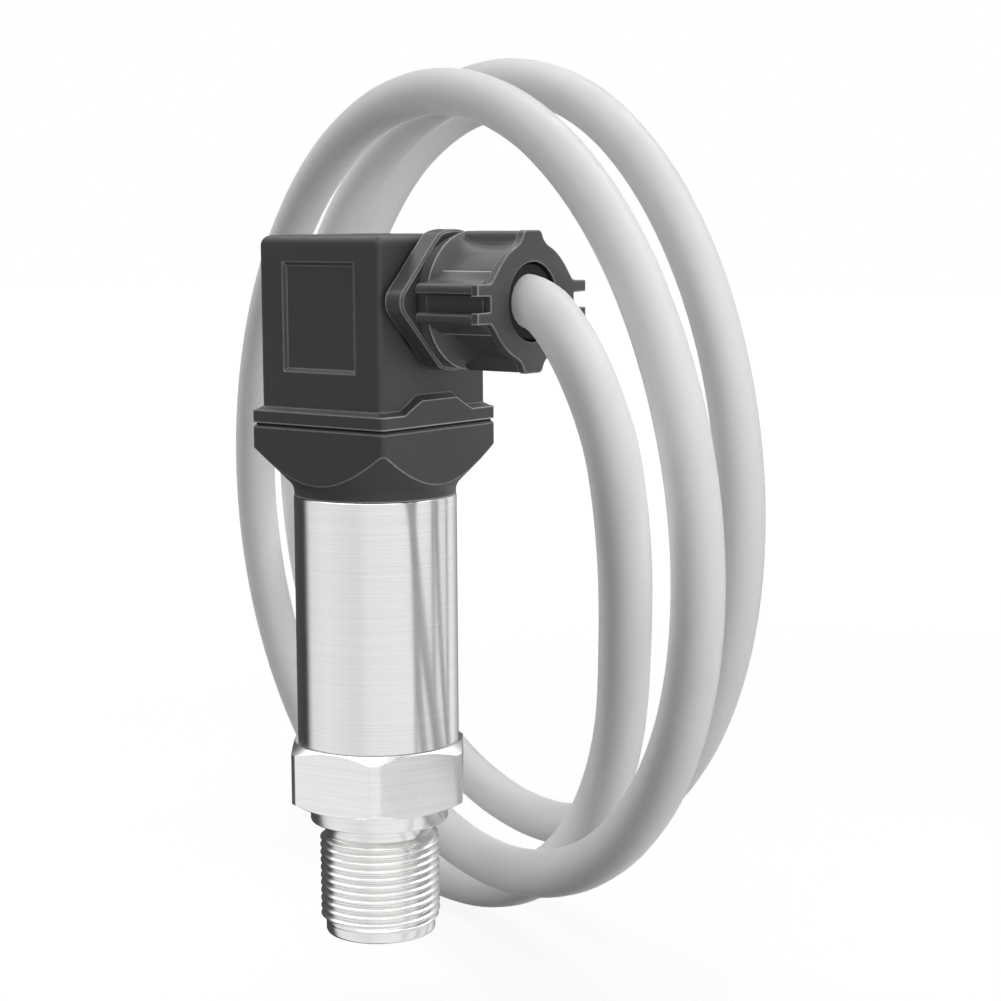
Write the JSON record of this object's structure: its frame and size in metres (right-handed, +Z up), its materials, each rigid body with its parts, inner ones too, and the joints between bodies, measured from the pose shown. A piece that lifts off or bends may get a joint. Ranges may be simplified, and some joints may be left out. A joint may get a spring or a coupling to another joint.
{
  "type": "pressure sensor",
  "caption": "Pressure sensor with a threaded hexagon fitting, a steel sleeve and a square angled plug whose grey cable leaves through a ribbed gland nut in loose turns.",
  "frame": {"origin": "on the sensor's axis, at the lower end of the process thread; the pilot end reaches below it", "axes": "+Z up along the sensor's axis, +X the way the cable leaves the gland, -Y the panel's side"},
  "size_m": [0.1751, 0.1432, 0.1648],
  "materials": {
    "stainless_fitting": "fine turned, bright",
    "stainless_sleeve": "brushed round",
    "black_base": "satin moulded",
    "black_plug": "fine grained moulded",
    "black_gland": "satin moulded",
    "grey_insert": "satin moulded",
    "black_rubber": "matt",
    "white_ceramic": "ground ceramic",
    "steel_ring": "turned",
    "natural_plastic": "satin moulded",
    "green_board": "lacquered board",
    "chip_plastic": "matt",
    "silicone_lead": "soft satin",
    "tinned_brass": "tinned, bright",
    "plated_screw": "zinc plated",
    "brown_wire": "satin",
    "blue_wire": "satin",
    "black_wire": "satin",
    "grey_jacket": "satin extruded jacket"
  },
  "bodies": {
    "sensor": {"process_fitting": "stainless_fitting", "sleeve": "stainless_sleeve", "connector_base": "black_base", "plug_housing": "black_plug", "gland_body": "black_gland", "terminal_block": "grey_insert", "flange_gasket": "black_rubber", "gland_body_seal": "black_rubber", "screw_seal": "black_rubber", "gland_seal": "black_rubber", "cell_seal": "black_rubber", "sleeve_seal": "black_rubber", "sensing_cell": "white_ceramic", "cell_ring": "steel_ring", "board_holder": "natural_plastic", "circuit_board": "green_board", "board_parts": "chip_plastic", "cell_leads": "silicone_lead", "base_leads": "silicone_lead", "base_pins": "tinned_brass", "earth_pin": "tinned_brass", "plug_sockets": "tinned_brass", "terminal_screws": "plated_screw", "clamp_ring": "black_gland", "brown_core": "brown_wire", "blue_core": "blue_wire", "black_core": "black_wire", "brown_end": "brown_wire", "blue_end": "blue_wire", "black_end": "black_wire", "end_ferrules": "tinned_brass", "cable_lead": "grey_jacket", "cable_turns": "grey_jacket"},
    "gland_nut": {"gland_nut": "black_gland"},
    "fixing_screw": {"fixing_screw": "plated_screw"}
  },
  "joints": [
    {"name": "gland_nut_turn", "type": "hinge", "parent": "sensor", "child": "gland_nut", "pos_m": [0.024, 0, 0.1038], "axis": [1, 0, 0], "continuous": true},
    {"name": "fixing_screw_turn", "type": "hinge", "parent": "sensor", "child": "fixing_screw", "pos_m": [0, 0, 0.08], "axis": [0, 0, 1], "continuous": true}
  ]
}
